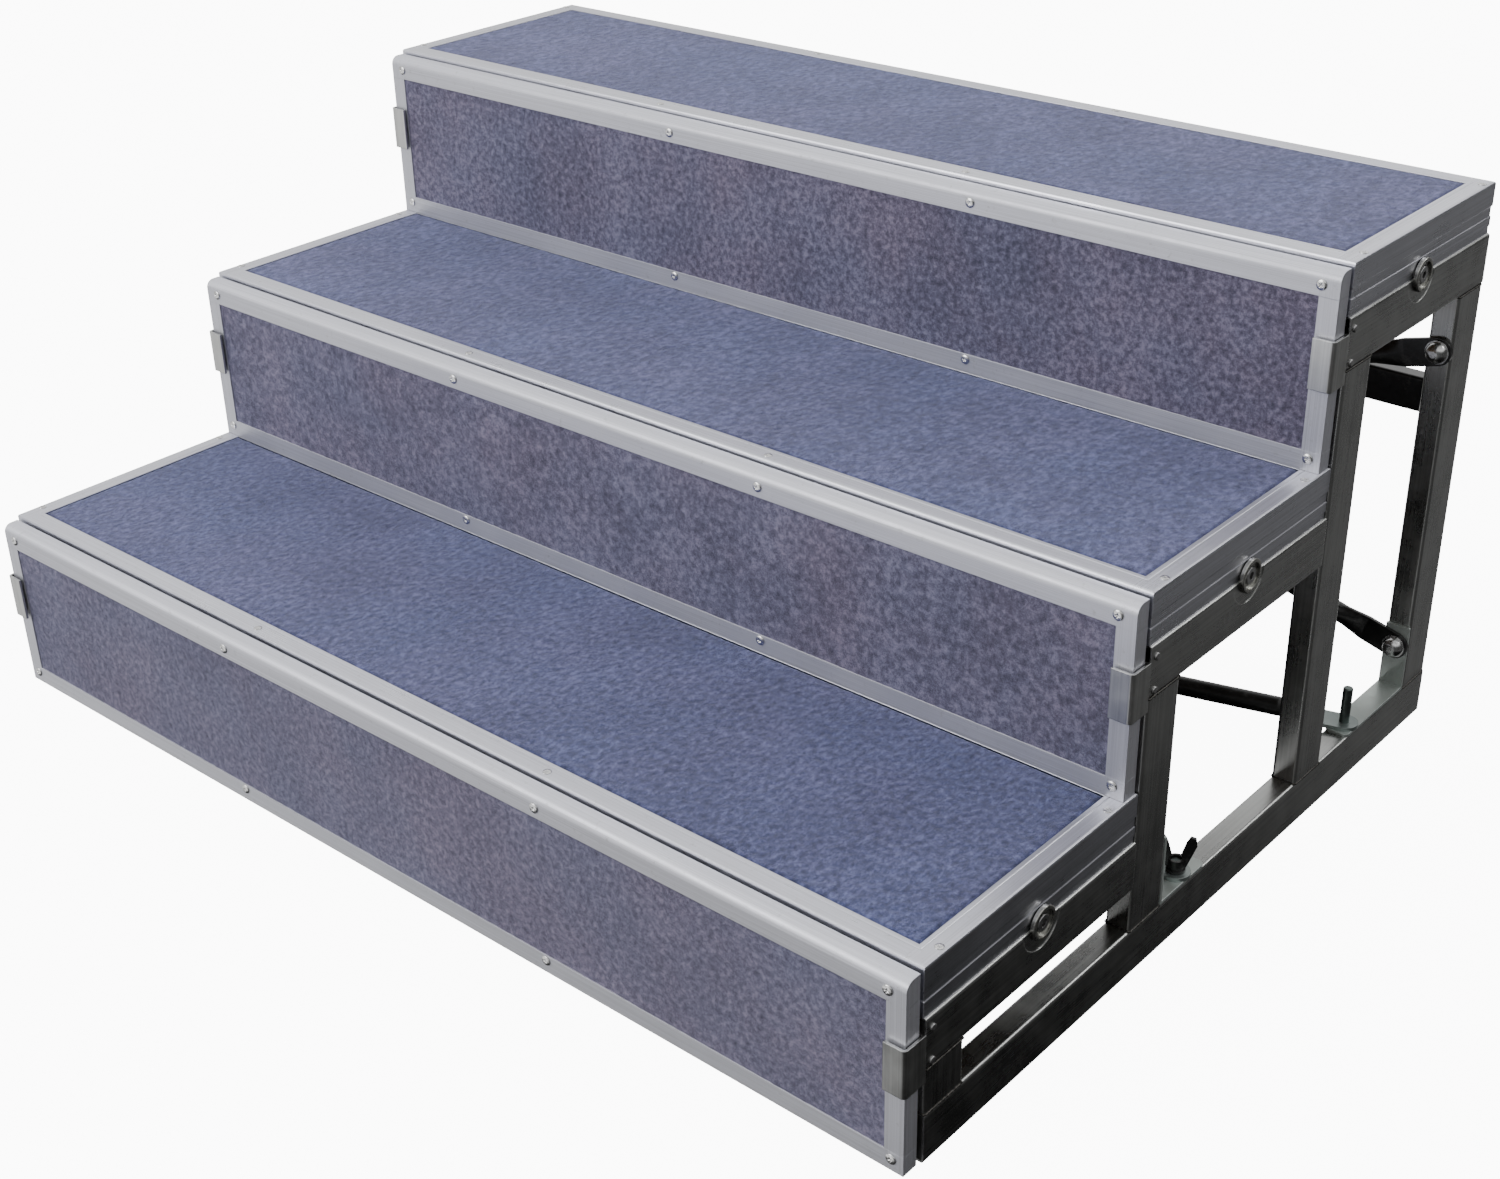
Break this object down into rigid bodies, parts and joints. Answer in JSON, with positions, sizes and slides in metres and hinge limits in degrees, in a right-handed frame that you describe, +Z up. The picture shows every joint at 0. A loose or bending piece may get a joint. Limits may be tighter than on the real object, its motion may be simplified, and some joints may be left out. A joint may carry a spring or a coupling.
{
  "type": "stage riser",
  "caption": "Free-standing stepped stage riser: carpeted treads and riser panels in aluminium edging, lifted out of tube side frames joined by bolted braces.",
  "frame": {"origin": "on the floor, under the middle of the footprint", "axes": "+X to the right along the treads, +Y from the lowest step to the rear, +Z up"},
  "size_m": [1.2266, 0.9, 0.578],
  "materials": {
    "tread_carpet": "short cut-pile carpet, mottled slate blue-grey",
    "riser_carpet": "flat needle-felt carpet, purple-grey",
    "deck_board": "plain plywood, hidden under the carpet",
    "riser_board": "plain plywood, edges hidden in the strips",
    "edge_aluminium": "satin clear-anodised extrusion with fine lengthwise lines",
    "screw_steel": "zinc-plated, slightly dull",
    "frame_paint": "silver-grey satin paint on rectangular tube",
    "hook_metal": "silver-grey satin paint on bent strip, bright at the cut edges",
    "lock_ring": "satin grey turned collar, bright on the rim",
    "lock_steel": "dark plated steel",
    "rivet_metal": "plain dome rivet",
    "plug_plastic": "black moulded plastic",
    "bracket_zinc": "greenish-grey galvanised sheet",
    "brace_paint": "black satin paint",
    "bolt_steel": "bright plated steel",
    "stud_steel": "dark plated steel",
    "wing_nut_paint": "black satin coating"
  },
  "bodies": {
    "frame": {"base_rail_left": "frame_paint", "base_rail_right": "frame_paint", "brace_studs": "stud_steel", "brace_wing_nuts": "wing_nut_paint", "deck_rail_1_left": "frame_paint", "deck_rail_1_right": "frame_paint", "deck_rail_2_left": "frame_paint", "deck_rail_2_right": "frame_paint", "deck_rail_3_left": "frame_paint", "deck_rail_3_right": "frame_paint", "floor_brace_a": "brace_paint", "floor_brace_b": "brace_paint", "frame_rivets": "rivet_metal", "front_corner_brackets": "bracket_zinc", "front_post_left": "frame_paint", "front_post_right": "frame_paint", "lock_bushes": "lock_ring", "panel_hooks": "hook_metal", "rail_end_plugs": "plug_plastic", "rear_brace_a": "brace_paint", "rear_brace_b": "brace_paint", "rear_brace_bolts": "bolt_steel", "rear_corner_brackets": "bracket_zinc", "rear_cross_beam": "brace_paint", "rear_post_left": "frame_paint", "rear_post_right": "frame_paint", "second_post_left": "frame_paint", "second_post_right": "frame_paint", "third_post_left": "frame_paint", "third_post_right": "frame_paint"},
    "deck_1": {"deck_1_board": "deck_board", "deck_1_carpet": "tread_carpet", "deck_1_edging": "edge_aluminium", "deck_1_screws": "screw_steel"},
    "riser_1": {"riser_1_board": "riser_board", "riser_1_carpet": "riser_carpet", "riser_1_edging": "edge_aluminium", "riser_1_screws": "screw_steel"},
    "lock_right_1": {"lock_spindle_right_1": "lock_steel"},
    "lock_left_1": {"lock_spindle_left_1": "lock_steel"},
    "deck_2": {"deck_2_board": "deck_board", "deck_2_carpet": "tread_carpet", "deck_2_edging": "edge_aluminium", "deck_2_screws": "screw_steel"},
    "riser_2": {"riser_2_board": "riser_board", "riser_2_carpet": "riser_carpet", "riser_2_edging": "edge_aluminium", "riser_2_screws": "screw_steel"},
    "lock_right_2": {"lock_spindle_right_2": "lock_steel"},
    "lock_left_2": {"lock_spindle_left_2": "lock_steel"},
    "deck_3": {"deck_3_board": "deck_board", "deck_3_carpet": "tread_carpet", "deck_3_edging": "edge_aluminium", "deck_3_screws": "screw_steel"},
    "riser_3": {"riser_3_board": "riser_board", "riser_3_carpet": "riser_carpet", "riser_3_edging": "edge_aluminium", "riser_3_screws": "screw_steel"},
    "lock_right_3": {"lock_spindle_right_3": "lock_steel"},
    "lock_left_3": {"lock_spindle_left_3": "lock_steel"}
  },
  "joints": [
    {"name": "deck_1_lift", "type": "slide", "parent": "frame", "child": "deck_1", "axis": [0, 0, 1], "range_m": [0, 0.075]},
    {"name": "riser_1_lift", "type": "slide", "parent": "frame", "child": "riser_1", "axis": [0, 0, 1], "range_m": [0, 0.14]},
    {"name": "lock_right_1_turn", "type": "hinge", "parent": "frame", "child": "lock_right_1", "pos_m": [0.6, -0.269, 0.1455], "axis": [1, 0, 0], "range_deg": [0, 180]},
    {"name": "lock_left_1_turn", "type": "hinge", "parent": "frame", "child": "lock_left_1", "pos_m": [-0.6, -0.269, 0.1455], "axis": [1, 0, 0], "range_deg": [0, 180]},
    {"name": "deck_2_lift", "type": "slide", "parent": "frame", "child": "deck_2", "axis": [0, 0, 1], "range_m": [0, 0.075]},
    {"name": "riser_2_lift", "type": "slide", "parent": "deck_1", "child": "riser_2", "axis": [0, 0, 1], "range_m": [0, 0.14]},
    {"name": "lock_right_2_turn", "type": "hinge", "parent": "frame", "child": "lock_right_2", "pos_m": [0.6, 0.03, 0.3365], "axis": [1, 0, 0], "range_deg": [0, 180]},
    {"name": "lock_left_2_turn", "type": "hinge", "parent": "frame", "child": "lock_left_2", "pos_m": [-0.6, 0.03, 0.3365], "axis": [1, 0, 0], "range_deg": [0, 180]},
    {"name": "deck_3_lift", "type": "slide", "parent": "frame", "child": "deck_3", "axis": [0, 0, 1], "range_m": [0, 0.075]},
    {"name": "riser_3_lift", "type": "slide", "parent": "deck_2", "child": "riser_3", "axis": [0, 0, 1], "range_m": [0, 0.14]},
    {"name": "lock_right_3_turn", "type": "hinge", "parent": "frame", "child": "lock_right_3", "pos_m": [0.6, 0.3055, 0.5275], "axis": [1, 0, 0], "range_deg": [0, 180]},
    {"name": "lock_left_3_turn", "type": "hinge", "parent": "frame", "child": "lock_left_3", "pos_m": [-0.6, 0.3055, 0.5275], "axis": [1, 0, 0], "range_deg": [0, 180]}
  ]
}
